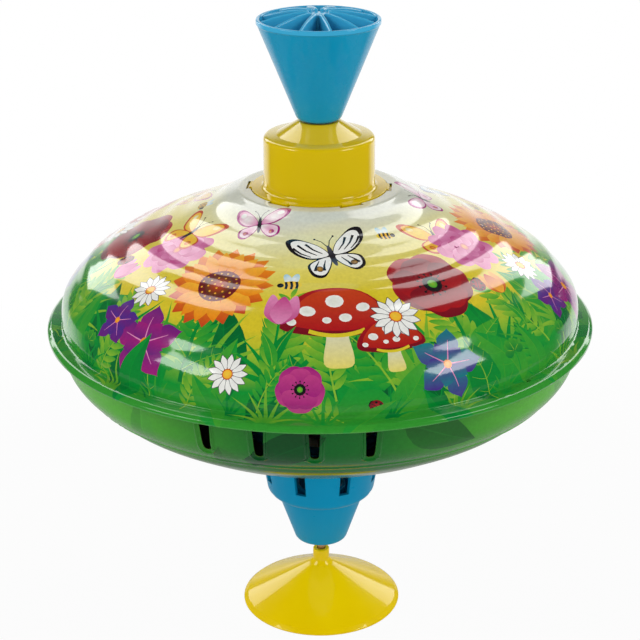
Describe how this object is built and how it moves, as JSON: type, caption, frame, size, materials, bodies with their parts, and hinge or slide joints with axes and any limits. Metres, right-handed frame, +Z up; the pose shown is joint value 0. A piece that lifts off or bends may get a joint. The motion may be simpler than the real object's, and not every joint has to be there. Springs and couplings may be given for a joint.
{
  "type": "spinning top",
  "caption": "Pump-handle humming top: a printed tin body with louvres turns on a pin over a plastic foot, driven by a twisted spindle under a ribbed conical knob.",
  "frame": {"origin": "middle of the foot's underside, on the surface that the top stands on", "axes": "+Z up along the spindle, -Y towards the front that the picture shows, +X to the right seen from the front"},
  "size_m": [0.19, 0.19, 0.2212],
  "materials": {
    "foot_plastic": "glossy yellow moulding",
    "collar_plastic": "glossy lemon yellow moulding",
    "cup_plastic": "glossy blue moulding",
    "knob_plastic": "satin gloss blue moulding",
    "dome_tin": "printed tinplate under clear gloss varnish, cream above and green at the seam",
    "bowl_tin": "printed tinplate under clear gloss varnish, leaf greens",
    "steel": "bright drawn steel",
    "nylon": "natural off-white nylon",
    "brass": "rolled brass"
  },
  "bodies": {
    "stand": {"foot": "foot_plastic", "foot_plug": "nylon"},
    "top_body": {"axle_pin": "steel", "pin_clip": "steel", "pin_plug": "nylon", "lower_cup": "cup_plastic", "lower_shell": "bowl_tin", "upper_shell": "dome_tin", "collar": "collar_plastic", "spindle_guide": "nylon", "guide_tube": "steel", "clutch_seat": "nylon", "reed_plate": "nylon", "reed_1": "brass", "reed_2": "brass", "reed_3": "brass", "reed_4": "brass", "reed_5": "brass", "reed_6": "brass", "reed_rivet_1": "brass", "reed_rivet_2": "brass", "reed_rivet_3": "brass", "reed_rivet_4": "brass", "reed_rivet_5": "brass", "reed_rivet_6": "brass"},
    "drive": {"driver": "nylon"},
    "handle": {"spindle": "steel", "spindle_stop": "steel", "stop_pin": "steel", "knob": "knob_plastic", "knob_pin": "steel"}
  },
  "joints": [
    {"name": "body_spin", "type": "hinge", "parent": "stand", "child": "top_body", "pos_m": [0, 0, 0.0055], "axis": [0, 0, 1], "continuous": true},
    {"name": "handle_pull", "type": "slide", "parent": "top_body", "child": "handle", "axis": [0, 0, 1], "range_m": [0, 0.1]},
    {"name": "driver_turn", "type": "hinge", "parent": "top_body", "child": "drive", "pos_m": [0, 0, 0.169], "axis": [0, 0, 1], "range_deg": [0, 720]}
  ],
  "couplings": [
    {"joint": "driver_turn", "follows": "handle_pull", "rad_per_m": 125.66}
  ]
}
